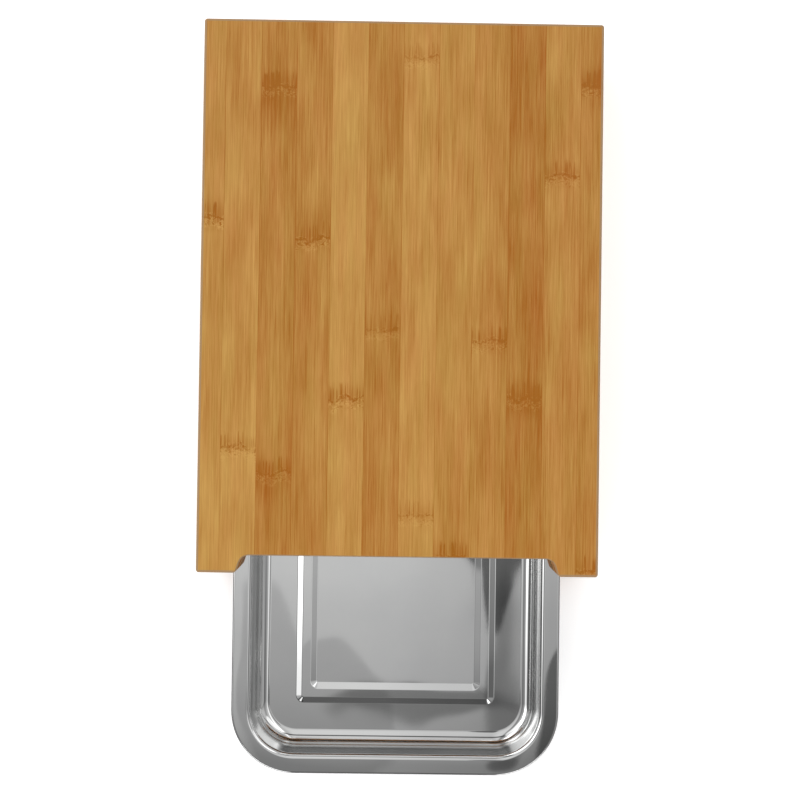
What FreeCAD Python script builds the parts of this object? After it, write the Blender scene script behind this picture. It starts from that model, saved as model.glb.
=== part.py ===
import FreeCAD, Part
import math
import os
import re

import Sketcher

# A bamboo cutting board that stands on two side rails, with a pressed steel tray sliding under it.
#
# Frame: +X to the right, +Y to the back, +Z up. The tray comes out towards -Y. The origin is on the table,
# under the middle of the board and the pulled-out tray together, so the board's own middle lies at
# y = tray_reach / 2.

# ---------------------------------------------------------------- driving sizes, mm or degrees
SIZES = {
    # board
    "board_length": 380,
    "overall_height": 48,
    "face_ply": 5,
    "core_ply": 8,
    "backing_ply": 5,
    "edge_stave": 15.5,
    "board_corner": 2,
    "edge_round": 1.2,
    # notch in the board's front edge, above the tray
    "notch_depth": 12,
    "notch_inset": 4.5,
    "notch_lean": 4,
    "notch_root": 7,
    "notch_lip": 3,
    # tray
    "tray_length": 360,
    "tray_width": 230,
    "tray_depth": 22,
    "tray_reach": 143,
    "tray_corner": 44,
    "sheet": 0.8,
    "rim_flat": 10.3,
    "rim_bend": 3.5,
    "hem_height": 3,
    "hem_round": 1.5,
    "wall_draft": 10,
    "floor_round": 9,
    # raised frame pressed into the tray's floor
    "frame_inset": 26.3,
    "frame_band": 10.4,
    "frame_height": 1.5,
    "frame_slope": 4.2,
    "frame_corner": 5.6,
    "frame_round": 2,
    # rails
    "rail_wall": 21.5,
    "tray_headroom": 2,
    "rim_side_gap": 1,
    "rim_seat_gap": 0.3,
    "ledge_gap": 2,
    "back_rail_depth": 22,
    # screws into the board
    "screw_shank": 4,
    "screw_length": 30,
    "screw_head": 8,
    "screw_head_height": 2.6,
    "screw_bore": 9,
    "screw_bore_depth": 6,
    "screw_tip": 4,
    "screw_inset": 40,
    "back_screw_inset": 46.5,
    "screw_cross": 5.4,
    "screw_cross_width": 1.2,
    "screw_cross_depth": 1.3,
    "shank_gap": 0.05,
    "hole_gap": 0.2,
    # feet
    "foot_diameter": 16,
    "foot_height": 3,
    "foot_round": 0.8,
    "foot_inset": 22,
    "foot_bore_depth": 1.8,
    "foot_screw_shank": 3,
    "foot_screw_length": 12,
    "foot_screw_head": 6,
    "foot_screw_head_height": 1.2,
    "foot_screw_tip": 3,
    "foot_screw_cross": 4,
    "foot_screw_cross_width": 0.9,
    "foot_screw_cross_depth": 0.6,
}
FULL_STAVES = 10
SCREW_ROWS = 3
# How near an edge lies to where it is looked for.
TOUCH = 1e-4

# ---------------------------------------------------------------- places worked out from the sizes
MID_Y = "(tray_reach / 2)"
HALF_LENGTH = "(board_length / 2)"
HALF_WIDTH = "(tray_width / 2 + rim_side_gap + rail_wall)"
STAVE_WIDTH = f"(2 * ({HALF_WIDTH} - edge_stave) / {FULL_STAVES})"
CORE_Z = "(overall_height - face_ply - core_ply)"
FACE_Z = "(overall_height - face_ply)"
UNDERSIDE_Z = "(overall_height - face_ply - core_ply - backing_ply)"
RAIL_HEIGHT = f"({UNDERSIDE_Z} - foot_height)"

RIM_Z = f"({UNDERSIDE_Z} - tray_headroom)"
LEDGE_Z = f"({RIM_Z} - hem_height - rim_seat_gap)"
TRAY_Y = f"({MID_Y} - {HALF_LENGTH} - tray_reach + tray_length / 2)"

MOUTH_X = "(tray_width / 2 - notch_inset)"
NOTCH_Y = f"(-{HALF_LENGTH} + notch_depth)"
NOTCH_RUNOUT = "notch_depth"

RAIL_INNER_X = "(tray_width / 2 - rim_flat + ledge_gap)"
GROOVE_X = f"({HALF_WIDTH} - rail_wall)"
RAIL_WIDTH = f"({HALF_WIDTH} - {RAIL_INNER_X})"
RAIL_X = f"({HALF_WIDTH} - {RAIL_WIDTH} / 2)"
BACK_RAIL_FACE = f"({HALF_LENGTH} - back_rail_depth)"

SCREW_X = f"(({GROOVE_X} + {HALF_WIDTH}) / 2)"
SCREW_SEAT_Z = "(foot_height + screw_bore_depth)"
SCREW_TOP_Z = f"({SCREW_SEAT_Z} + screw_length)"
SCREW_SPAN = f"(2 * ({HALF_LENGTH} - screw_inset))"
BACK_SCREW_SPAN = f"(2 * ({RAIL_INNER_X} - back_screw_inset))"
BACK_SCREW_Y = f"({HALF_LENGTH} - back_rail_depth / 2)"
FOOT_Y = f"({HALF_LENGTH} - foot_inset)"
FOOT_SCREW_TOP_Z = "(foot_bore_depth + foot_screw_length)"


# ---------------------------------------------------------------- document and sheet
doc = FreeCAD.newDocument("CuttingBoard")
sheet = doc.addObject("Spreadsheet::Sheet", "Sizes")
for row, (alias, size) in enumerate(SIZES.items(), start=1):
    sheet.set(f"A{row}", alias.replace("_", " "))
    sheet.set(f"B{row}", str(size))
    sheet.setAlias(f"B{row}", alias)
doc.recompute()

pieces = []


# ---------------------------------------------------------------- ways of working
def in_sheet(expression):
    """The expression with the name of each size pointing at its cell."""

    def cell(word):
        return f"Sizes.{word[0]}" if word[0] in SIZES else word[0]

    return re.sub(r"[a-z][a-z_]+", cell, expression)


def value(expression):
    """What an expression comes to."""
    return float(sheet.evalExpression(in_sheet(expression)))


def new_body(label, x="0", y=MID_Y, z="0"):
    """An empty body for one piece, placed by three expressions."""
    body = doc.addObject("PartDesign::Body", label)
    body.Label = label
    for axis, place in (("x", x), ("y", y), ("z", z)):
        body.setExpression(f"Placement.Base.{axis}", in_sheet(place))
    pieces.append(body)
    return body


def new_sketch(body, name, role, lift):
    """An empty sketch on one of the body's origin planes, lifted along the plane's normal."""
    sketch = body.newObject("Sketcher::SketchObject", name)
    plane = next(feature for feature in body.Origin.OriginFeatures if feature.Role == role)
    sketch.AttachmentSupport = (plane, [""])
    sketch.MapMode = "FlatFace"
    sketch.setExpression("AttachmentOffset.Base.z", in_sheet(lift))
    return sketch


def fix_point(sketch, geometry, point, x, y):
    """Holds one point of a sketch at (x, y), given as expressions."""
    for kind, place in (("DistanceX", x), ("DistanceY", y)):
        number = sketch.addConstraint(Sketcher.Constraint(kind, -1, 1, geometry, point, value(place)))
        sketch.setExpression(f"Constraints[{number}]", in_sheet(place))


def outline(body, name, corners, role="XY_Plane", lift="0"):
    """A closed outline of straight lines. A corner is (x, y), or (x, y, radius) where it is rounded."""
    sketch = new_sketch(body, name, role, lift)
    sharp = [FreeCAD.Vector(value(corner[0]), value(corner[1]), 0) for corner in corners]
    count = len(corners)
    ends = []
    arcs = []
    for number, corner in enumerate(corners):
        here = sharp[number]
        if len(corner) == 2:
            ends.append((here, here))
            arcs.append(None)
            continue
        back = (sharp[number - 1] - here).normalize()
        on = (sharp[(number + 1) % count] - here).normalize()
        half_angle = back.getAngle(on) / 2
        radius = value(corner[2])
        reach = radius / math.tan(half_angle)
        centre = here + (back + on).normalize() * (radius / math.sin(half_angle))
        first, last = here + back * reach, here + on * reach
        left_turn = back.cross(on).z < 0
        start, stop = (first, last) if left_turn else (last, first)
        angles = [math.atan2(end.y - centre.y, end.x - centre.x) for end in (start, stop)]
        circle = Part.Circle(centre, FreeCAD.Vector(0, 0, 1), radius)
        ends.append((first, last))
        arcs.append((Part.ArcOfCircle(circle, angles[0], angles[1]), left_turn))
    for number in range(count):
        sketch.addGeometry(Part.LineSegment(ends[number][1], ends[(number + 1) % count][0]))
    for number, corner in enumerate(corners):
        before = (number - 1) % count
        if arcs[number] is None:
            sketch.addConstraint(Sketcher.Constraint("Coincident", before, 2, number, 1))
            fix_point(sketch, number, 1, corner[0], corner[1])
            continue
        arc, left_turn = arcs[number]
        bend = sketch.addGeometry(arc)
        first, last = (1, 2) if left_turn else (2, 1)
        sketch.addConstraint(Sketcher.Constraint("Tangent", before, 2, bend, first))
        sketch.addConstraint(Sketcher.Constraint("Tangent", bend, last, number, 1))
        size = sketch.addConstraint(Sketcher.Constraint("Radius", bend, value(corner[2])))
        sketch.setExpression(f"Constraints[{size}]", in_sheet(corner[2]))
        point = sketch.addGeometry(Part.Point(sharp[number]), True)
        sketch.addConstraint(Sketcher.Constraint("PointOnObject", point, 1, before))
        sketch.addConstraint(Sketcher.Constraint("PointOnObject", point, 1, number))
        fix_point(sketch, point, 1, corner[0], corner[1])
    return sketch


def rectangle(body, name, half_x, half_y, radius=None, lift="0"):
    """A rectangle about the body's origin, its corners rounded if a radius is given."""
    signs = ((-1, -1), (1, -1), (1, 1), (-1, 1))
    ends = () if radius is None else (radius,)
    corners = [(f"{sign_x} * {half_x}", f"{sign_y} * {half_y}", *ends) for sign_x, sign_y in signs]
    return outline(body, name, corners, lift=lift)


def circles(body, name, centres, diameter, lift="0"):
    """Equal circles about the centres, each a pair of expressions."""
    sketch = new_sketch(body, name, "XY_Plane", lift)
    for x, y in centres:
        middle = FreeCAD.Vector(value(x), value(y), 0)
        ring = sketch.addGeometry(Part.Circle(middle, FreeCAD.Vector(0, 0, 1), value(diameter) / 2))
        size = sketch.addConstraint(Sketcher.Constraint("Diameter", ring, value(diameter)))
        sketch.setExpression(f"Constraints[{size}]", in_sheet(diameter))
        fix_point(sketch, ring, 3, x, y)
    return sketch


def pad(body, name, sketch, length, up=True, draft=None):
    """Material from a sketch, upwards or downwards, drawing in by the draft as it goes."""
    feature = body.newObject("PartDesign::Pad", name)
    feature.Profile = sketch
    feature.Reversed = not up
    feature.setExpression("Length", in_sheet(length))
    if draft:
        feature.setExpression("TaperAngle", in_sheet(f"-{draft}"))
    doc.recompute()
    return feature


def pocket(body, name, sketch, depth, up=False, draft=None):
    """A cut from a sketch, downwards or upwards, drawing in by the draft as it goes."""
    solid = body.Tip.Shape.Volume
    feature = body.newObject("PartDesign::Pocket", name)
    feature.Profile = sketch
    feature.Reversed = up
    feature.setExpression("Length", in_sheet(depth))
    if draft:
        feature.setExpression("TaperAngle", in_sheet(f"-{draft}"))
    doc.recompute()
    if not feature.Shape.Volume < solid:
        raise RuntimeError(f"{body.Label}: {name} cuts nothing")
    return feature


def revolve(body, name, corners):
    """A turned solid from a half outline of (radius, height) corners beside the body's Z axis."""
    sketch = outline(body, f"{name}Profile", corners, role="XZ_Plane")
    feature = body.newObject("PartDesign::Revolution", name)
    feature.Profile = sketch
    feature.ReferenceAxis = (sketch, ["V_Axis"])
    feature.Angle = 360
    doc.recompute()
    return feature


def soften(body, name, radius, chosen):
    """A fillet on those edges of the body so far that the test picks."""
    base = body.Tip
    names = [f"Edge{number}" for number, edge in enumerate(base.Shape.Edges, start=1) if chosen(edge)]
    if not names:
        raise RuntimeError(f"{body.Label}: {name} finds no edge")
    feature = body.newObject("PartDesign::Fillet", name)
    feature.Base = (base, names)
    feature.setExpression("Radius", in_sheet(radius))
    doc.recompute()
    return feature


def middle_of(edge):
    """The point halfway along an edge."""
    return edge.valueAt((edge.FirstParameter + edge.LastParameter) / 2)


def level_at(edge, height):
    """True if the whole edge lies at one height."""
    box = edge.BoundBox
    return abs(box.ZMax - height) < TOUCH and abs(box.ZMin - height) < TOUCH


# ---------------------------------------------------------------- the board's three plies
# The staves run front to back, full ones about the middle and a narrower one at each side.
SIDE_SCREWS = [
    (f"{side} * {SCREW_X}", f"{row / (SCREW_ROWS - 1) - 0.5} * {SCREW_SPAN}")
    for side in (-1, 1)
    for row in range(SCREW_ROWS)
]
BACK_SCREWS = [(f"{side} * {BACK_SCREW_SPAN} / 2", BACK_SCREW_Y) for side in (-1, 1)]


def cut_notch(body, thickness, shift="0"):
    """The notch through one ply. The shift is how far the piece's own origin lies from the board's middle."""
    corners = [
        (f"-{MOUTH_X} - {shift}", f"-{HALF_LENGTH}", "notch_lip"),
        (f"-{MOUTH_X} + notch_lean - {shift}", NOTCH_Y, "notch_root"),
        (f"{MOUTH_X} - notch_lean - {shift}", NOTCH_Y, "notch_root"),
        (f"{MOUTH_X} - {shift}", f"-{HALF_LENGTH}", "notch_lip"),
        (f"{MOUTH_X} + {NOTCH_RUNOUT} - {shift}", f"-{HALF_LENGTH}"),
        (f"{MOUTH_X} + {NOTCH_RUNOUT} - {shift}", f"-{HALF_LENGTH} - {NOTCH_RUNOUT}"),
        (f"-{MOUTH_X} - {NOTCH_RUNOUT} - {shift}", f"-{HALF_LENGTH} - {NOTCH_RUNOUT}"),
        (f"-{MOUTH_X} - {NOTCH_RUNOUT} - {shift}", f"-{HALF_LENGTH}"),
    ]
    pocket(body, "Notch", outline(body, "NotchOutline", corners, lift=thickness), thickness)


def make_stave(label, place, z, thickness, is_face):
    """One stave of a ply, by its place from the left, which starts at 0."""
    side = {0: -1, FULL_STAVES + 1: 1}.get(place, 0)
    width = "edge_stave" if side else STAVE_WIDTH
    middle_x = f"({place - (FULL_STAVES + 1) / 2} * {STAVE_WIDTH})"
    if side:
        middle_x = f"({side} * ({HALF_WIDTH} - edge_stave / 2))"
    body = new_body(label, x=middle_x, z=z)
    corners = []
    for sign_x, sign_y in ((-1, -1), (1, -1), (1, 1), (-1, 1)):
        corner = (f"{sign_x} * {width} / 2", f"{sign_y} * {HALF_LENGTH}")
        if sign_x == side:
            corner += ("board_corner",)
        corners.append(corner)
    pad(body, "Stave", outline(body, "StaveOutline", corners), thickness)
    if abs(value(middle_x)) - value(width) / 2 < value(f"{MOUTH_X} + notch_lip"):
        cut_notch(body, thickness, middle_x)
    if is_face:
        joint_x = value(width) / 2
        top = value(thickness)

        def on_rim_of_board(edge):
            across = middle_of(edge).x
            at_joint = abs(abs(across) - joint_x) < TOUCH
            outside = across * side > 0
            return level_at(edge, top) and (outside or not at_joint)

        soften(body, "EdgeRound", "edge_round", on_rim_of_board)
    else:
        drill_pilots(body, thickness, middle_x, value(width) / 2)


def drill_pilots(body, depth, shift="0", half_width=math.inf):
    """Pilot holes up from the underside for those screws that meet the piece."""
    reach = value("screw_shank / 2 + shank_gap")
    centres = []
    for x, y in SIDE_SCREWS + BACK_SCREWS:
        if abs(value(x) - value(shift)) < half_width + reach:
            centres.append((f"{x} - {shift}", y))
    if centres:
        holes = circles(body, "PilotCircles", centres, "screw_shank + 2 * shank_gap")
        pocket(body, "Pilots", holes, depth, up=True)


for place in range(FULL_STAVES + 2):
    make_stave(f"face_stave_{place + 1:02d}", place, FACE_Z, "face_ply", True)
    make_stave(f"backing_stave_{place + 1:02d}", place, UNDERSIDE_Z, "backing_ply", False)

core = new_body("core_ply", z=CORE_Z)
pad(core, "Core", rectangle(core, "CoreOutline", HALF_WIDTH, HALF_LENGTH, "board_corner"), "core_ply")
cut_notch(core, "core_ply")
drill_pilots(core, f"{SCREW_TOP_Z} + hole_gap - {CORE_Z}")


# ---------------------------------------------------------------- rails under the board
def bore_for_screws(body, centres):
    """Clearance holes up through a rail, with a deeper bore that hides each screw's head."""
    shanks = circles(body, "ShankCircles", centres, "screw_shank + 2 * hole_gap")
    pocket(body, "ShankHoles", shanks, RAIL_HEIGHT, up=True)
    heads = circles(body, "HeadCircles", centres, "screw_bore")
    pocket(body, "HeadBores", heads, "screw_bore_depth", up=True)


def make_side_rail(label, side):
    """A rail with a stopped groove along the top of its inner face for the tray's rim.

    The groove's outline runs past the bar's inner face and front end by the width of the rim.
    """
    body = new_body(label, x=f"{side} * {RAIL_X}", z="foot_height")
    outer = f"{side} * {RAIL_WIDTH} / 2"
    inner = f"-{side} * {RAIL_WIDTH} / 2"
    corners = [
        (inner, f"-{HALF_LENGTH}"),
        (outer, f"-{HALF_LENGTH}", "board_corner"),
        (outer, HALF_LENGTH, "board_corner"),
        (inner, HALF_LENGTH),
    ]
    pad(body, "Bar", outline(body, "BarOutline", corners[::side]), RAIL_HEIGHT)
    wall = f"{side} * ({GROOVE_X} - {RAIL_X})"
    past = f"{side} * ({RAIL_INNER_X} - {RAIL_X} - rim_flat)"
    groove = [
        (past, f"-{HALF_LENGTH} - rim_flat"),
        (wall, f"-{HALF_LENGTH} - rim_flat"),
        (wall, BACK_RAIL_FACE),
        (past, BACK_RAIL_FACE),
    ]
    cut = outline(body, "GrooveOutline", groove[::side], lift=RAIL_HEIGHT)
    pocket(body, "Groove", cut, f"{UNDERSIDE_Z} - {LEDGE_Z}")
    screws = [(f"{x} - {side} * {RAIL_X}", y) for x, y in SIDE_SCREWS if value(x) * side > 0]
    bore_for_screws(body, screws)
    feet = [("0", f"{end} * {FOOT_Y}") for end in (-1, 1)]
    pilots = circles(body, "FootPilotCircles", feet, "foot_screw_shank + 2 * shank_gap")
    pocket(body, "FootPilots", pilots, f"{FOOT_SCREW_TOP_Z} + hole_gap - foot_height", up=True)

    half_width = value(RAIL_WIDTH) / 2
    half_length = value(HALF_LENGTH)
    corner = value("board_corner")

    def is_outside_foot(edge):
        middle = middle_of(edge)
        near_end = abs(middle.y) > half_length - corner
        near_side = middle.x * side > half_width - corner
        return level_at(edge, 0) and (near_end or near_side)

    soften(body, "FootRound", "edge_round", is_outside_foot)


for name, side in (("left", -1), ("right", 1)):
    make_side_rail(f"side_rail_{name}", side)

back_rail = new_body("back_rail", y=f"{MID_Y} + {BACK_SCREW_Y}", z="foot_height")
pad(back_rail, "Bar", rectangle(back_rail, "BarOutline", RAIL_INNER_X, "back_rail_depth / 2"), RAIL_HEIGHT)
bore_for_screws(back_rail, [(x, "0") for x, y in BACK_SCREWS])
back_face = value("back_rail_depth") / 2
soften(
    back_rail,
    "FootRound",
    "edge_round",
    lambda edge: level_at(edge, 0) and abs(middle_of(edge).y - back_face) < TOUCH,
)


# ---------------------------------------------------------------- tray
# One pressed sheet. The body's origin is in the middle of the rim's top face. A sharp corner line of the
# inside, before it is rounded, is called an edge here.
BEND_REACH = "(rim_bend * tan((90 - wall_draft) / 2))"
MOUTH_IN = f"(rim_flat + {BEND_REACH})"
FLOOR_IN = f"({MOUTH_IN} + tray_depth * tan(wall_draft))"
WALL_ACROSS = "(sheet / cos(wall_draft))"
FRAME_IN = f"({FLOOR_IN} + frame_inset)"
PANEL_IN = f"({FRAME_IN} + frame_band)"
FRAME_DRAFT = "atan(frame_slope / frame_height)"
UNDER_FRAME = f"(sheet * tan((90 deg - {FRAME_DRAFT}) / 2))"


def tray_halves(inset):
    """Half the width and half the length of a line that runs round the tray, this far in from its rim."""
    return f"(tray_width / 2 - ({inset}))", f"(tray_length / 2 - ({inset}))"


def tray_ring(name, inset, lift, radius=None):
    """A rounded rectangle round the tray, its corners on the rim's corner centres unless a radius is given."""
    return rectangle(tray, name, *tray_halves(inset), radius or f"(tray_corner - ({inset}))", lift)


def on_ring(inset, lift):
    """A test for the edges that make up one such line."""
    half_x, half_y = (value(half) for half in tray_halves(inset))
    height = value(lift)

    def chosen(edge):
        box = edge.BoundBox
        reach_x = max(abs(box.XMin), abs(box.XMax))
        reach_y = max(abs(box.YMin), abs(box.YMax))
        return level_at(edge, height) and (abs(reach_x - half_x) < TOUCH or abs(reach_y - half_y) < TOUCH)

    return chosen


tray = new_body("tray", y=TRAY_Y, z=RIM_Z)
pad(tray, "Rim", tray_ring("RimOutline", "0", "0"), "hem_height", up=False)
pocket(tray, "HemInside", tray_ring("HemOutline", "sheet", "-hem_height"), "hem_height - sheet", up=True)
basin = tray_ring("BasinOutline", f"({MOUTH_IN} - {WALL_ACROSS})", "0")
pad(tray, "Basin", basin, "tray_depth + sheet", up=False, draft="wall_draft")
pocket(tray, "Inside", tray_ring("InsideOutline", MOUTH_IN, "0"), "tray_depth", draft="wall_draft")

frame = tray_ring("FrameOutline", FRAME_IN, "-tray_depth", "frame_corner")
pad(tray, "Frame", frame, "frame_height", draft=FRAME_DRAFT)
under_frame = tray_ring(
    "UnderFrameOutline",
    f"({FRAME_IN} + {UNDER_FRAME})",
    "-tray_depth - sheet",
    f"(frame_corner - {UNDER_FRAME})",
)
pocket(tray, "UnderFrame", under_frame, "frame_height", up=True, draft=FRAME_DRAFT)
under_panel = tray_ring(
    "UnderPanelOutline",
    f"({PANEL_IN} - {UNDER_FRAME})",
    "-tray_depth - sheet + frame_height",
    f"(frame_corner + {UNDER_FRAME})",
)
pad(tray, "UnderPanel", under_panel, "frame_height", up=False, draft=FRAME_DRAFT)
panel = tray_ring("PanelOutline", PANEL_IN, "-tray_depth + frame_height", "frame_corner")
pocket(tray, "Panel", panel, "frame_height", draft=FRAME_DRAFT)

BASIN_FOOT_IN = f"({MOUTH_IN} - {WALL_ACROSS} + (tray_depth + sheet) * tan(wall_draft))"
BASIN_TOP_IN = f"({MOUTH_IN} - {WALL_ACROSS} + sheet * tan(wall_draft))"
for name, radius, inset, lift in (
    ("FrameFoot", "frame_round", FRAME_IN, "-tray_depth"),
    ("FrameTop", "frame_round", f"{FRAME_IN} + frame_slope", "-tray_depth + frame_height"),
    ("PanelTop", "frame_round", PANEL_IN, "-tray_depth + frame_height"),
    ("PanelFoot", "frame_round", f"{PANEL_IN} + frame_slope", "-tray_depth"),
    ("FloorRound", "floor_round", FLOOR_IN, "-tray_depth"),
    ("FloorUnder", "floor_round + sheet", BASIN_FOOT_IN, "-tray_depth - sheet"),
    ("RimBend", "rim_bend", MOUTH_IN, "0"),
    ("RimUnder", "rim_bend - sheet", BASIN_TOP_IN, "-sheet"),
    ("HemRound", "hem_round", "0", "0"),
    ("HemUnder", "hem_round - sheet", "sheet", "-sheet"),
):
    soften(tray, name, radius, on_ring(inset, lift))


# ---------------------------------------------------------------- screws and feet
def make_screws(label, kind, x, y, z, spread):
    """Alike screws, points up, with a cross in each head. The origin is under the first screw's head.

    The kind begins the names of their sizes. The spread has one (axis, length, count) for each direction
    in which the screws repeat.
    """
    body = new_body(label, x=x, y=y, z=z)
    under_head = f"-{kind}_head_height"
    profile = [
        ("0", under_head),
        (f"{kind}_head / 2", under_head),
        (f"{kind}_head / 2", "0"),
        (f"{kind}_shank / 2", "0"),
        (f"{kind}_shank / 2", f"{kind}_length - {kind}_tip"),
        ("0", f"{kind}_length"),
    ]
    turned = revolve(body, "Turned", profile)
    arm = f"{kind}_cross / 2"
    half = f"{kind}_cross_width / 2"
    cross = [
        (f"-{arm}", f"-{half}"),
        (f"-{half}", f"-{half}"),
        (f"-{half}", f"-{arm}"),
        (half, f"-{arm}"),
        (half, f"-{half}"),
        (arm, f"-{half}"),
        (arm, half),
        (half, half),
        (half, arm),
        (f"-{half}", arm),
        (f"-{half}", half),
        (f"-{arm}", half),
    ]
    recess_outline = outline(body, "CrossOutline", cross, lift=under_head)
    recess = pocket(body, "Cross", recess_outline, f"{kind}_cross_depth", up=True)
    row = body.newObject("PartDesign::LinearPattern", "Row")
    row.Originals = [turned, recess]
    for suffix, (axis, reach, count) in zip(("", "2"), spread):
        line = next(feature for feature in body.Origin.OriginFeatures if feature.Role == axis)
        setattr(row, f"Direction{suffix}", (line, [""]))
        row.setExpression(f"Length{suffix}", in_sheet(reach))
        setattr(row, f"Occurrences{suffix}", count)
    body.Tip = row
    doc.recompute()
    count = math.prod(step[2] for step in spread)
    if len(row.Shape.Solids) != count:
        raise RuntimeError(f"{label}: {len(row.Shape.Solids)} screws instead of {count}")


make_screws(
    "side_rail_screws",
    "screw",
    f"-{SCREW_X}",
    f"{MID_Y} - {SCREW_SPAN} / 2",
    SCREW_SEAT_Z,
    (("X_Axis", f"2 * {SCREW_X}", 2), ("Y_Axis", SCREW_SPAN, SCREW_ROWS)),
)
make_screws(
    "back_rail_screws",
    "screw",
    f"-{BACK_SCREW_SPAN} / 2",
    f"{MID_Y} + {BACK_SCREW_Y}",
    SCREW_SEAT_Z,
    (("X_Axis", BACK_SCREW_SPAN, 2),),
)
make_screws(
    "foot_screws",
    "foot_screw",
    f"-{RAIL_X}",
    f"{MID_Y} - {FOOT_Y}",
    "foot_bore_depth",
    (("X_Axis", f"2 * {RAIL_X}", 2), ("Y_Axis", f"2 * {FOOT_Y}", 2)),
)

foot_profile = [
    ("foot_screw_head / 2 + hole_gap", "0"),
    ("foot_diameter / 2", "0", "foot_round"),
    ("foot_diameter / 2", "foot_height"),
    ("foot_screw_shank / 2 + shank_gap", "foot_height"),
    ("foot_screw_shank / 2 + shank_gap", "foot_bore_depth"),
    ("foot_screw_head / 2 + hole_gap", "foot_bore_depth"),
]
for end_name, end in (("front", -1), ("back", 1)):
    for side_name, side in (("left", -1), ("right", 1)):
        foot = new_body(f"foot_{end_name}_{side_name}", x=f"{side} * {RAIL_X}", y=f"{MID_Y} + {end} * {FOOT_Y}")
        revolve(foot, "Turned", foot_profile)


# ---------------------------------------------------------------- check and write
doc.recompute()
for item in doc.Objects:
    if {"Invalid", "Error"} & set(item.State):
        raise RuntimeError(f"{item.Label} is {item.State}")
for body in pieces:
    if body.Shape.isNull() or not body.Shape.isValid():
        raise RuntimeError(f"{body.Label} has no valid shape")

os.makedirs("parts", exist_ok=True)
for body in pieces:
    body.Shape.exportStep(f"parts/{body.Label}.step")
    print(f"{body.Label}: {len(body.Shape.Solids)} solid(s), {body.Shape.Volume / 1000:.1f} cm3")
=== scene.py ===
import math

import bmesh
import bpy
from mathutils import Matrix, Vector


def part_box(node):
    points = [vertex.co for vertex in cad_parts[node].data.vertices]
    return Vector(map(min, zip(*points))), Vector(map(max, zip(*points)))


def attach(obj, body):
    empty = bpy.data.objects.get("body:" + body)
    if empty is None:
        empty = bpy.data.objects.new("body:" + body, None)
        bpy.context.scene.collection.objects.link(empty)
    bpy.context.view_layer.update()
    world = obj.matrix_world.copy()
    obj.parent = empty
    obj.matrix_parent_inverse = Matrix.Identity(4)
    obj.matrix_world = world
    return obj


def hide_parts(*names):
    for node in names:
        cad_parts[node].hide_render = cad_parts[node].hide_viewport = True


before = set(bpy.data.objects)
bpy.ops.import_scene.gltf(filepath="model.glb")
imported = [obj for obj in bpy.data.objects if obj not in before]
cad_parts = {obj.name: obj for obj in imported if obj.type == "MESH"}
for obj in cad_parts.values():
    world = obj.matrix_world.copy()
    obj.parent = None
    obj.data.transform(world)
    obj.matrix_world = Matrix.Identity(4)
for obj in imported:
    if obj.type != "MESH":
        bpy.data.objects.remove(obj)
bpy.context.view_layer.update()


# ---------------------------------------------------------------- face staves
# Twelve planed bamboo strips, 5 mm thick, edge-glued into the top of the board and trimmed together.
# Each keeps the tone of its own cane, with a knuckle wherever the cane had a joint. The top is sanded and
# oiled to a satin.
MM = 1000  # in a metre
NOISE_STEP = 13.7  # from one pattern to the next, so that no two are alike
NOISE_PATH = (1, 0.37, -0.61)
FINISH_STEP = 101.3  # from one finish to the next


class Signal:
    """A number that changes over a surface. Sums of signals add the Math nodes that work them out."""

    def __init__(self, nodes, socket):
        self.nodes = nodes
        self.socket = socket

    def math(self, operation, *others):
        sockets = dict(enumerate((self, *others)))
        return self.nodes.signal("ShaderNodeMath", {"operation": operation}, sockets)

    def __add__(self, other):
        return self.math("ADD", other)

    def __mul__(self, other):
        return self.math("MULTIPLY", other)

    def __sub__(self, other):
        return self.math("SUBTRACT", other)

    def __truediv__(self, other):
        return self.math("DIVIDE", other)

    def __rsub__(self, other):
        return self.nodes.signal("ShaderNodeMath", {"operation": "SUBTRACT"}, {0: other, 1: self})

    def __abs__(self):
        return self.math("ABSOLUTE")

    __radd__ = __add__
    __rmul__ = __mul__

    def rise(self, low, high):
        """0 below low, 1 above high and smooth between. With low above high it falls instead."""
        sockets = {"Value": self, "From Min": low, "From Max": high}
        return self.nodes.signal("ShaderNodeMapRange", {"interpolation_type": "SMOOTHSTEP"}, sockets)

    def hump(self, reach):
        """1 where the signal is 0, and down to almost nothing at twice the reach on either side."""
        return (self * self * (-1 / reach**2)).math("EXPONENT")


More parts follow.
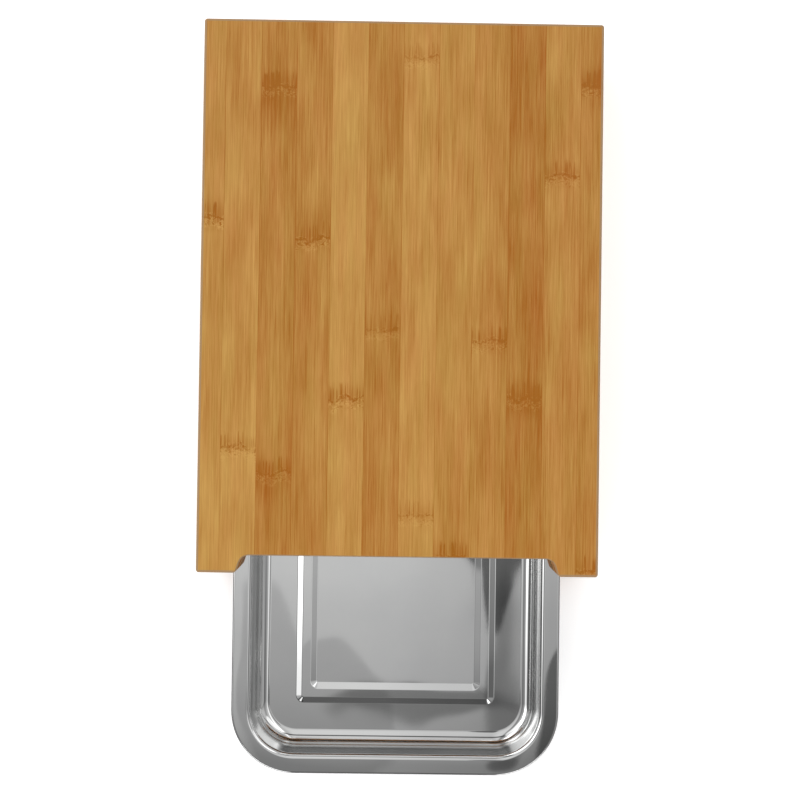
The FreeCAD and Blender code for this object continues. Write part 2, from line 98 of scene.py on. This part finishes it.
class Nodes:
    """A node tree, and plain ways of adding to it."""

    def __init__(self, tree):
        self.tree = tree
        self.seed = 0.0

    def node(self, kind, settings=None, sockets=None):
        """A new node with its settings, then a value or link for each socket. Stops are a ramp's greys."""
        node = self.tree.nodes.new(kind)
        for key, setting in (settings or {}).items():
            if key == "stops":
                stops = node.color_ramp.elements
                for position, level in setting[1:-1]:
                    stops.new(position).color = (level, level, level, 1)
                for stop, (position, level) in ((stops[0], setting[0]), (stops[-1], setting[-1])):
                    stop.position = position
                    stop.color = (level, level, level, 1)
            else:
                setattr(node, key, setting)
        for key, value in (sockets or {}).items():
            self.feed(node.inputs[key], value)
        return node

    def feed(self, socket, value):
        """Links the socket to a signal or another socket, or else gives it a plain value."""
        if isinstance(value, Signal):
            value = value.socket
        if isinstance(value, bpy.types.NodeSocket):
            self.tree.links.new(value, socket)
        else:
            socket.default_value = value

    def signal(self, kind, settings=None, sockets=None):
        """The first output of a new node."""
        return Signal(self, self.node(kind, settings, sockets).outputs[0])

    def parts(self, vector):
        """The three parts of a vector."""
        split = self.node("ShaderNodeSeparateXYZ", None, {0: vector})
        return [Signal(self, output) for output in split.outputs]

    def noise(self, place, stretch, detail=2.0, roughness=0.5, distortion=0.0):
        """Noise from -0.5 to 0.5, with this many features to the millimetre each way."""
        self.seed += NOISE_STEP
        shift = tuple(part * self.seed for part in NOISE_PATH)
        stretched = {0: place, 1: stretch, 2: shift}
        moved = self.node("ShaderNodeVectorMath", {"operation": "MULTIPLY_ADD"}, stretched)
        sockets = {
            "Vector": moved.outputs[0],
            "Scale": 1.0,
            "Detail": detail,
            "Roughness": roughness,
            "Distortion": distortion,
        }
        return self.signal("ShaderNodeTexNoise", None, sockets) - 0.5

    def mix(self, share, first, second):
        """One colour going over into another."""
        mixed = self.node("ShaderNodeMix", {"data_type": "RGBA"}, {0: share, 6: first, 7: second})
        return mixed.outputs[2]


class Finish(Nodes):
    """One material. Its places are millimetres in the board's own frame."""

    def __init__(self, name, seed, fixed):
        self.material = bpy.data.materials.new(name)
        self.material.use_nodes = True
        super().__init__(self.material.node_tree)
        self.seed = FINISH_STEP * seed
        self.shader = self.tree.nodes["Principled BSDF"]
        for socket, value in fixed.items():
            self.shader.inputs[socket].default_value = value
        metres = self.node("ShaderNodeTexCoord").outputs["Object"]
        enlarged = {0: metres, "Scale": MM}
        self.place = self.node("ShaderNodeVectorMath", {"operation": "SCALE"}, enlarged).outputs[0]

    def surface(self, colour, roughness, height, depth):
        """Sets the colour, the roughness and a relief, whose depth is in millimetres."""
        self.feed(self.shader.inputs["Base Color"], colour)
        self.feed(self.shader.inputs["Roughness"], roughness)
        bump = self.node("ShaderNodeBump", None, {"Height": height, "Distance": depth / MM})
        self.feed(self.shader.inputs["Normal"], bump.outputs[0])


# The patterns of the wood, by their features to the millimetre across, along and through the piece.
CLOUDS = (0.06, 0.018, 0.06)
STREAKS = (0.42, 0.012, 0.42)
FIBRES = (1.25, 0.022, 1.25)
PORES = (3.2, 0.09, 3.2)
WARMTH = (0.09, 0.014, 0.09)
BUNDLES = 1.1

PALE_OLIVE = (0.590, 0.348, 0.082, 1)
PALE_WARM = (0.645, 0.330, 0.090, 1)
DEEP_OLIVE = (0.350, 0.128, 0.002, 1)
DEEP_WARM = (0.390, 0.111, 0.004, 1)
# The grey of the painted shade on the board's rounded upper edges, where it starts inside the edge, and how
# much of it shows.
EDGE_SHADE_GREY = (0.380, 0.250, 0.135, 1)
EDGE_SHADE_FROM = 2.1  # mm inside the board's edge
EDGE_SHADE_FULLY_FROM = 1.4
EDGE_SHADE_SHARE = 0.85
SEAM_WIDTH = 0.22
SEAM_DEPTH = 0.35
OILED_ROUGHNESS = 0.45
GRAIN_RELIEF = 0.04
BOARD_MIDDLE = sum(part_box("core_ply"), Vector()) / 2 * MM
BOARD_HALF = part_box("core_ply")[1] * MM - BOARD_MIDDLE


def knuckle(finish, grain, along, middle, depth, behind, before):
    """The mark of one joint of the cane: a crinkled ring in a deeper zone, short dark strokes behind, and
    thin light lines painted as the highlight of the ridge beside the ring.

    Gives how much deeper the tone is there, and how the surface stands up.
    """
    swing = finish.noise(grain, (0.10, 0, 0.10), 1.0) * 13
    wobble = finish.noise(grain, (0.45, 0.30, 0.45), 1.0) * 5
    local = along - middle - (swing + wobble)
    crinkle = finish.noise(grain, (0.36, 0.44, 0.36), 1.0, 0.5, 0.8)
    vessels = finish.noise(grain, (0.75, 0.03, 0.75), 1.0).rise(0.02, 0.12)
    strokes = vessels * local.rise(-1, 2) * local.rise(12, 7)
    ring = local.hump(0.9) * crinkle.rise(-0.25, 0.0)
    band = local.rise(-9, -5) * local.rise(3, 1)
    # Painted highlight: thin light lines through the crinkle, as if lit on a ridge beside the ring.
    ridge_highlight = crinkle.hump(0.055) * band
    blots = crinkle.rise(0.08, 0.2) * band
    zone = (along - middle).rise(-before - 4, 0) * (along - middle).rise(behind + 4, 0)
    mark = zone * 0.6 + strokes * 0.75 + ring * 0.9 + blots * 0.6 - ridge_highlight * 0.7
    return mark * depth, ridge_highlight - ring


def bamboo(name, seed, tone, drift=0.0, knuckles=(), seams=(), lengthwise=True, strips=None):
    """Bamboo planed along the grain. The tone goes from 0, pale, to 1, deep, and drifts towards the front.

    A knuckle is (where along, depth, how far the deeper tone goes behind it and before it). Seams are the
    places across where the piece meets its neighbours. Strips is the width of each of several in one piece.
    """
    finish = Finish(name, seed, {"Specular IOR Level": 0.25})
    x, y, z = finish.parts(finish.place)
    along, across = (y, x) if lengthwise else (x, y)
    grain = finish.node("ShaderNodeCombineXYZ", None, {0: across, 1: along, 2: z}).outputs[0]
    cloud = finish.noise(grain, CLOUDS, 2.0)
    streak = finish.noise(grain, STREAKS, 3.0, 0.65)
    fibre = finish.noise(grain, FIBRES, 3.0, 0.75)
    pores = finish.noise(grain, PORES, 1.0).rise(0.14, 0.26)
    deep = tone + cloud * 0.8 + streak * 0.5 + fibre * 1.35 + pores * 0.12
    deep = deep + (BOARD_MIDDLE[1] - along) * (drift / BOARD_HALF[1])
    height = fibre * 0.6 - pores * 0.5
    if strips:
        row = (across - BOARD_MIDDLE[1]) / strips
        whole = {"W": row.math("FLOOR")}
        own = finish.signal("ShaderNodeTexWhiteNoise", {"noise_dimensions": "1D"}, whole)
        joint = abs(row.math("FRACT") - 0.5).rise(0.49, 0.5)
        deep = deep + own * 0.4 - 0.2 + joint * 0.3
    for seam in seams:
        deep = deep + (across - seam).hump(SEAM_WIDTH) * SEAM_DEPTH
    for middle, depth, behind, before in knuckles:
        mark, stands = knuckle(finish, grain, along, middle, depth, behind, before)
        deep = deep + mark
        height = height + stands * 0.8

    # The sawn ends show the cut fibre bundles as dark dots.
    normal = finish.parts(finish.node("ShaderNodeNewGeometry").outputs["Normal"])
    end = abs(normal[1] if lengthwise else normal[0]).rise(0.6, 0.8)
    cut = finish.node("ShaderNodeCombineXYZ", None, {0: across, 1: z}).outputs[0]
    cells = {"Vector": cut, "Scale": BUNDLES}
    dots = finish.signal("ShaderNodeTexVoronoi", {"voronoi_dimensions": "2D"}, cells).rise(0.34, 0.20)
    deep = deep * (1 - end) + (tone + 0.45 + dots * 0.5 + cloud * 0.4) * end
    warm = 0.5 + finish.noise(grain, WARMTH, 2.0) * 1.4
    pale = finish.mix(warm, PALE_OLIVE, PALE_WARM)
    colour = finish.mix(deep, pale, finish.mix(warm, DEEP_OLIVE, DEEP_WARM))

    # A painted shade greys and darkens the rounded upper edges and a narrow line round the board's top.
    sides = abs(x).rise(BOARD_HALF[0] - EDGE_SHADE_FROM, BOARD_HALF[0] - EDGE_SHADE_FULLY_FROM)
    ends = abs(y - BOARD_MIDDLE[1]).rise(BOARD_HALF[1] - EDGE_SHADE_FROM, BOARD_HALF[1] - EDGE_SHADE_FULLY_FROM)
    edges = normal[2].rise(0.999, 0.90).math("MAXIMUM", sides).math("MAXIMUM", ends)
    upward = normal[2].rise(0.05, 0.35)
    colour = finish.mix(edges * upward * EDGE_SHADE_SHARE, colour, EDGE_SHADE_GREY)
    roughness = OILED_ROUGHNESS + fibre * 0.25 + end * 0.15
    finish.surface(colour, roughness, height * (1 - end) - dots * end, GRAIN_RELIEF)
    return finish.material


def back_edge(distance):
    """A place along the board, given from its back edge, both in millimetres."""
    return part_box("core_ply")[1][1] * MM - distance


def dress(node, material):
    """A node of the model in another material."""
    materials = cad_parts[node].data.materials
    materials.clear()
    materials.append(material)


# The tone and drift of each strip, from the left, and its knuckles: the distance of each from the back
# edge, its depth, and the reach of the deeper tone behind it and before it.
FACE_CANES = [
    (0.36, -0.12, [(136, 0.65, 14, 10)]),
    (0.35, -0.12, [(294, 0.48, 6, 3)]),
    (0.58, 0.00, [(47, 0.50, 12, 36), (311, 0.38, 10, 26)]),
    (0.56, 0.00, [(150, 0.50, 34, 8)]),
    (0.28, 0.00, [(260, 0.50, 10, 6)]),
    (0.60, 0.00, [(212, 0.25, 16, 2)]),
    (0.33, -0.02, [(25, 0.30, 6, 4), (339, 0.30, 6, 4)]),
    (0.46, 0.00, [(368, 0.45, 14, 12)]),
    (0.52, 0.00, [(220, 0.40, 8, 6)]),
    (0.71, 0.02, [(259, 0.45, 16, 14)]),
    (0.50, 0.00, [(105, 0.40, 8, 6)]),
    (0.56, -0.04, [(43, 0.50, 14, 6), (376, 0.45, 14, 8)]),
]
for number, (tone, drift, marks) in enumerate(FACE_CANES, start=1):
    node = f"face_stave_{number:02d}"
    knuckles = [(back_edge(distance), *shape) for distance, *shape in marks]
    sides = [corner[0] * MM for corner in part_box(node)]
    seams = [side for side in sides if abs(side) < BOARD_HALF[0] - EDGE_SHADE_FROM]
    dress(node, bamboo(f"bamboo_face_{number:02d}", number, tone, drift, knuckles, seams))


# ---------------------------------------------------------------- backing staves
# Twelve strips like the top ones, glued under the core so that the board stays flat. They are sanded and
# get one thin coat of oil, so they are a little paler. The joints of their canes are 175 mm apart.
BACKING_TONES = (0.45, 0.30, 0.52, 0.38, 0.60, 0.33, 0.48, 0.28, 0.55, 0.40, 0.36, 0.50)
BACKING_SEED = 20
CANE_JOINTS_APART = 175
HIDDEN_KNUCKLE = (0.35, 10, 6)
for number, tone in enumerate(BACKING_TONES, start=1):
    first = 30 + (61 * number) % 170  # scattered from strip to strip
    knuckles = [(back_edge(distance), *HIDDEN_KNUCKLE) for distance in (first, first + CANE_JOINTS_APART)]
    finish = bamboo(f"bamboo_backing_{number:02d}", BACKING_SEED + number, tone, 0.0, knuckles)
    dress(f"backing_stave_{number:02d}", finish)


# ---------------------------------------------------------------- core ply
# The middle of the board: strips laid across it, from side to side, so that neither face can cup. Its
# edges show end grain at the sides and long grain at the front and back.
CORE_STRIP = 24.4
dress("core_ply", bamboo("bamboo_core", 41, 0.45, lengthwise=False, strips=CORE_STRIP))


# ---------------------------------------------------------------- rails
# Two side rails with a groove for the tray's rim, and a back rail between them, planed from thick bamboo
# stock and screwed on from below. Each has one knuckle.
RAIL_KNUCKLE = (0.4, 10, 6)
left_knuckle = (back_edge(96), *RAIL_KNUCKLE)
right_knuckle = (back_edge(251), *RAIL_KNUCKLE)
back_knuckle = (0, *RAIL_KNUCKLE)
dress("side_rail_left", bamboo("bamboo_rail_left", 51, 0.50, 0.0, [left_knuckle]))
dress("side_rail_right", bamboo("bamboo_rail_right", 52, 0.44, 0.0, [right_knuckle]))
dress("back_rail", bamboo("bamboo_rail_back", 53, 0.48, 0.0, [back_knuckle], lengthwise=False))


# ---------------------------------------------------------------- tray
# One sheet of stainless steel, 0.8 mm thick, pressed cold: a flat rim with a turned-down edge, drafted
# walls, and a raised frame in the floor that stiffens it. It has the soft shine of rolled sheet. Its
# sizes here are in metres.
TRAY_LOW, TRAY_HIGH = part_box("tray")
RIM_TOP = TRAY_HIGH.z
SHEET = 0.0008
RIM_CORNER = 0.044
TRAY_DEPTH = 0.022
HEM_HEIGHT = 0.003
HEM_ROUND = 0.0015
RIM_FLAT = 0.0103
RIM_BEND = 0.0035
FLOOR_ROUND = 0.009
WALL_SLOPE = math.radians(80)
FRAME_INSET = 0.0263
FRAME_BAND = 0.0104
FRAME_HEIGHT = 0.0015
FRAME_RUN = 0.0042
FRAME_CORNER = 0.0056
FRAME_ROUND = 0.002
FRAME_SLOPE = math.atan2(FRAME_HEIGHT, FRAME_RUN)
CORNER_STEPS = 20
SAME_HEIGHT = 1e-5


def plate(mesh, inset, height, corner):
    """A flat plate with rounded corners, this far inside the tray's outline."""
    half = (TRAY_HIGH - TRAY_LOW) / 2
    middle = (TRAY_HIGH + TRAY_LOW) / 2
    corners = bmesh.ops.create_grid(mesh, x_segments=1, y_segments=1, size=1)["verts"]
    bmesh.ops.scale(mesh, vec=(half.x - inset, half.y - inset, 1), verts=corners)
    bmesh.ops.translate(mesh, vec=(middle.x, middle.y, height), verts=corners)
    rounded = bmesh.ops.bevel(
        mesh,
        geom=corners,
        offset=corner,
        offset_type="OFFSET",
        segments=CORNER_STEPS,
        profile=0.5,
        affect="VERTICES",
        material=-1,
    )
    return rounded["verts"][0].link_faces[0]


def press(mesh, face, steps):
    """Draws the plate's middle in and down by each step in turn, which leaves the profile round it."""
    for inward, down in steps:
        bmesh.ops.inset_region(
            mesh, faces=[face], thickness=inward, depth=-down, use_boundary=True, use_even_offset=True
        )


def bend(radius, start, stop, count=6):
    """Steps round a bend, from one slope of the sheet to another. A negative slope climbs."""
    slopes = [start + (stop - start) * number / count for number in range(count + 1)]
    steps = []
    for before, after in zip(slopes, slopes[1:]):
        inward = radius * abs(math.sin(after) - math.sin(before))
        down = radius * abs(math.cos(before) - math.cos(after))
        steps.append((inward, math.copysign(down, before + after)))
    return steps


def close_level(mesh, height):
    """Fills the flat ring between the two open outlines at this height."""
    outlines = [
        edge
        for edge in mesh.edges
        if edge.is_boundary and all(abs(end.co.z - height) < SAME_HEIGHT for end in edge.verts)
    ]
    bmesh.ops.triangle_fill(mesh, edges=outlines, use_beauty=True, normal=(0, 0, 1))


# The rim, the walls and the bend at their foot.
tray_mesh = bmesh.new()
bend_reach = RIM_BEND * math.tan(WALL_SLOPE / 2)
foot_reach = FLOOR_ROUND * math.tan(WALL_SLOPE / 2)
wall_in = TRAY_DEPTH / math.tan(WALL_SLOPE)
wall_straight = 1 - (bend_reach + foot_reach) * math.sin(WALL_SLOPE) / TRAY_DEPTH
rim = plate(tray_mesh, 0, RIM_TOP - HEM_HEIGHT, RIM_CORNER)
press(tray_mesh, rim, [(0, HEM_ROUND - HEM_HEIGHT)])
press(tray_mesh, rim, bend(HEM_ROUND, -math.pi / 2, 0))
press(tray_mesh, rim, [(RIM_FLAT - HEM_ROUND, 0)])
press(tray_mesh, rim, bend(RIM_BEND, 0, WALL_SLOPE, 8))
press(tray_mesh, rim, [(wall_in * wall_straight, TRAY_DEPTH * wall_straight)])
press(tray_mesh, rim, bend(FLOOR_ROUND, WALL_SLOPE, 0, 16))
bmesh.ops.delete(tray_mesh, geom=[rim], context="FACES_ONLY")

# The floor round the raised frame, and the panel inside it.
slope_reach = FRAME_ROUND * math.tan(FRAME_SLOPE / 2)
slope_straight = 1 - 2 * slope_reach * math.sin(FRAME_SLOPE) / FRAME_HEIGHT
frame_in = RIM_FLAT + bend_reach + wall_in + FRAME_INSET
climb = bend(FRAME_ROUND, 0, FRAME_SLOPE, 4)
climb.append((FRAME_RUN * slope_straight, FRAME_HEIGHT * slope_straight))
climb += bend(FRAME_ROUND, FRAME_SLOPE, 0, 4)
floor = RIM_TOP - TRAY_DEPTH
frame_top = floor + FRAME_HEIGHT
step_corner = FRAME_CORNER + slope_reach
outer = plate(tray_mesh, frame_in - slope_reach, floor, step_corner)
press(tray_mesh, outer, [(inward, -down) for inward, down in climb])
bmesh.ops.delete(tray_mesh, geom=[outer], context="FACES_ONLY")
panel = plate(tray_mesh, frame_in + FRAME_BAND - slope_reach, frame_top, step_corner)
press(tray_mesh, panel, climb)
close_level(tray_mesh, floor)
close_level(tray_mesh, frame_top)
bmesh.ops.recalc_face_normals(tray_mesh, faces=tray_mesh.faces)
for face in tray_mesh.faces:
    face.smooth = True
tray_data = bpy.data.meshes.new("tray_sheet")
tray_mesh.to_mesh(tray_data)
tray_mesh.free()
tray = bpy.data.objects.new("tray_sheet", tray_data)
bpy.context.scene.collection.objects.link(tray)
thickness = tray.modifiers.new("Sheet", "SOLIDIFY")
thickness.thickness = SHEET
thickness.offset = -1
thickness.use_even_offset = True
thickness.use_quality_normals = True
tray.modifiers.new("Flats", "WEIGHTED_NORMAL")

# The flats keep the sheet's shine, and the walls are duller where the press stretched them.
STEEL_COOL = (0.60, 0.605, 0.61, 1)
STEEL_PALE = (0.68, 0.68, 0.67, 1)
FLAT_ROUGHNESS = 0.035
WALL_ROUGHNESS = 0.165
steel = Finish("stainless_steel", 61, {"Metallic": 1.0})
smears = steel.noise(steel.place, (0.02, 0.03, 0.02), 4.0, 0.6)
rolling = steel.noise(steel.place, (2.5, 0.05, 2.5), 3.0, 0.7)
dents = steel.noise(steel.place, (0.016, 0.012, 0.016), 1.0)
steel_colour = steel.mix(0.5 + smears * 0.8 + rolling * 0.3, STEEL_COOL, STEEL_PALE)
flatness = abs(steel.parts(steel.node("ShaderNodeNewGeometry").outputs["Normal"])[2])
dull = FLAT_ROUGHNESS + flatness.rise(0.92, 0.6) * (WALL_ROUGHNESS - FLAT_ROUGHNESS)
steel.surface(steel_colour, dull + smears * 0.04 + rolling * 0.02, dents + rolling * 0.0005, 0.5)
tray.data.materials.append(steel.material)
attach(tray, "tray")
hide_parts("tray")


# ---------------------------------------------------------------- screws
# Pan head wood screws of zinc-plated steel, driven from below. Eight go through bored recesses in the
# rails into the board, and a shorter one goes through each foot into its rail.
ZINC_BLUE = (0.50, 0.51, 0.52, 1)
ZINC_PALE = (0.62, 0.62, 0.60, 1)
zinc = Finish("zinc_plate", 71, {"Metallic": 1.0})
plating = zinc.noise(zinc.place, (0.6, 0.6, 0.6), 4.0, 0.6)
zinc_colour = zinc.mix(0.5 + plating, ZINC_BLUE, ZINC_PALE)
zinc.surface(zinc_colour, 0.32 + plating * 0.2, plating, 0.03)
for node in ("side_rail_screws", "back_rail_screws", "foot_screws"):
    dress(node, zinc.material)


# ---------------------------------------------------------------- feet
# Four feet of moulded black rubber, which keep the board from sliding. Each is held by one screw, whose
# head lies in a recess.
RUBBER_BLACK = (0.030, 0.030, 0.032, 1)
RUBBER_DUSTY = (0.055, 0.054, 0.052, 1)
rubber = Finish("foot_rubber", 81, {"Specular IOR Level": 0.3})
dust = rubber.noise(rubber.place, (0.5, 0.5, 0.5), 4.0, 0.6)
speckle = rubber.noise(rubber.place, (4, 4, 4), 2.0)
rubber_colour = rubber.mix(0.4 + dust, RUBBER_BLACK, RUBBER_DUSTY)
rubber.surface(rubber_colour, 0.7 + dust * 0.2, speckle, 0.05)
for end in ("front", "back"):
    for side in ("left", "right"):
        dress(f"foot_{end}_{side}", rubber.material)


# ---------------------------------------------------------------- studio
# A plain white table, which isn't part of the object, in a room of soft light: brighter from the sides and
# the back, darker in front. The table glows a little, so that shadows stay faint, and the steel mirrors it
# darker than it looks.
TABLE_HALF = 6
TABLE_GLOW = 0.45
TABLE_PALE = (0.93, 0.93, 0.93, 1)
TABLE_WHITE = (0.95, 0.95, 0.95, 1)
TABLE_IN_STEEL = (0.15, 0.15, 0.15, 1)
GLOW_IN_STEEL = (0.1, 0.1, 0.1, 1)
PURE_WHITE = (1, 1, 1, 1)
table_mesh = bmesh.new()
bmesh.ops.create_grid(table_mesh, x_segments=1, y_segments=1, size=TABLE_HALF)
table_data = bpy.data.meshes.new("table")
table_mesh.to_mesh(table_data)
table_mesh.free()
table = bpy.data.objects.new("table", table_data)
bpy.context.scene.collection.objects.link(table)
white = Finish("table_white", 91, {"Emission Strength": TABLE_GLOW})
mottle = white.noise(white.place, (0.01, 0.01, 0.01), 3.0)
mirrored = white.node("ShaderNodeLightPath").outputs["Is Glossy Ray"]
table_colour = white.mix(mirrored, white.mix(0.5 + mottle, TABLE_PALE, TABLE_WHITE), TABLE_IN_STEEL)
white.surface(table_colour, 0.8 + mottle * 0.1, mottle, 0.01)
white.feed(white.shader.inputs["Emission Color"], white.mix(mirrored, PURE_WHITE, GLOW_IN_STEEL))
table.data.materials.append(white.material)

world = bpy.data.worlds.new("studio")
bpy.context.scene.world = world
world.use_nodes = True
sky = Nodes(world.node_tree)
direction = sky.node("ShaderNodeTexCoord").outputs["Generated"]
right, back, up = sky.parts(direction)
lean_right = right.math("ARCTAN2", up) * math.degrees(1)
lean_back = back.math("ARCTAN2", up) * math.degrees(1)

# How bright the room is by the angle from straight up, in degrees to the right and to the back. The two
# are multiplied.
ACROSS = [
    (-90, 0.7), (-64, 0.7), (-58, 3.8), (-43, 3.8), (-40, 0.8), (-30, 0.7), (-24, 0.4),
    (-15, 0.4), (-10, 1.0), (-1, 1.0), (3, 0.9), (9, 0.72), (13, 0.75), (17, 1.8), (22, 1.8),
    (25, 0.8), (35, 0.78), (39, 0.5), (50, 0.5), (57, 0.75), (90, 0.75),
]
ALONG = [
    (-90, 0.15), (-34, 0.15), (-24, 0.32), (-19.6, 0.38), (-17.6, 0.52), (-15, 0.64),
    (-13, 0.67), (-11, 0.72), (-9, 0.79), (-5, 0.85), (2, 0.95), (36, 0.95), (39, 0.15),
    (46, 0.15), (49, 0.9), (90, 0.9),
]
BRIGHTEST = 4

# The dark screens in the room. Each is an oval about an angle to the right and one to the back, with half
# its width and length, how soft its edge is, and last the share of the light that it takes. The double
# screen is two ovals that overlap, with one share.
DOUBLE_SCREEN = [(-3.5, -18.6, 3.5, 6, 0.03), (-7.0, -15.9, 1.9, 6.2, 0.12)]
DOUBLE_SCREEN_SHARE = 0.22
DARK_SCREENS = [
    (1.8, -16.4, 5.2, 1.0, 0.4, 0.52),
    (5.9, -5.6, 1.75, 6.4, 0.04, 0.76),
    (6.6, -14.5, 0.9, 5.0, 0.9, 0.5),
    (11, -17, 2.3, 4.0, 0.06, 0.66),
    (6.5, -19.6, 0.7, 0.8, 0.5, 0.5),
    (-34, -7.5, 3.0, 3.2, 0.2, 0.5),
]

# The soft boxes: two behind, two low in front and a weak one at the right, each with the light it adds.
SOFT_BOX_EDGE = 0.3
SOFT_BOXES = [
    (-38, 30, 20, 22, 0.9),
    (38, 30, 20, 22, 0.9),
    (-40, -66, 22, 14, 3.6),
    (40, -66, 22, 14, 3.6),
    (62, -42, 22, 22, 0.35),
]


def room(lean, levels):
    """The light by one of the two angles, from -90 to 90 degrees, going evenly from level to level."""
    stops = [(0.5 + angle / 180, level / BRIGHTEST) for angle, level in levels]
    return sky.signal("ShaderNodeValToRGB", {"stops": stops}, {0: lean / 180 + 0.5}) * BRIGHTEST


def patch(across, along, half_width, half_length, edge):
    """An oval part of the room, about a point given by its two angles."""
    one = (lean_right - across) / half_width
    other = (lean_back - along) / half_length
    return (one * one + other * other).rise(1 + edge, 1 - edge)


light = room(lean_right, ACROSS) * room(lean_back, ALONG)
first, second = (patch(*oval) for oval in DOUBLE_SCREEN)
light = light * (1 - first.math("MAXIMUM", second) * DOUBLE_SCREEN_SHARE)
for *oval, share in DARK_SCREENS:
    light = light * (1 - patch(*oval) * share)
for *oval, added in SOFT_BOXES:
    light = light + patch(*oval, SOFT_BOX_EDGE) * added
seen = sky.node("ShaderNodeLightPath").outputs["Is Camera Ray"]
grey = sky.node("ShaderNodeCombineXYZ", None, {0: light, 1: light, 2: light}).outputs[0]
backdrop = sky.mix(seen, grey, PURE_WHITE)
sky.feed(world.node_tree.nodes["Background"].inputs["Color"], backdrop)

# The camera hangs 0.72 m over the table and looks almost straight down.
camera_data = bpy.data.cameras.new("camera")
camera_data.sensor_width = 36
camera_data.lens = 44.4
camera = bpy.data.objects.new("camera", camera_data)
bpy.context.scene.collection.objects.link(camera)
camera.location = (-0.0042, -0.0070, 0.7230)
camera.rotation_euler = (0.0119, -0.0069, 0.0141)
bpy.context.scene.camera = camera
bpy.context.scene.view_settings.view_transform = "Standard"
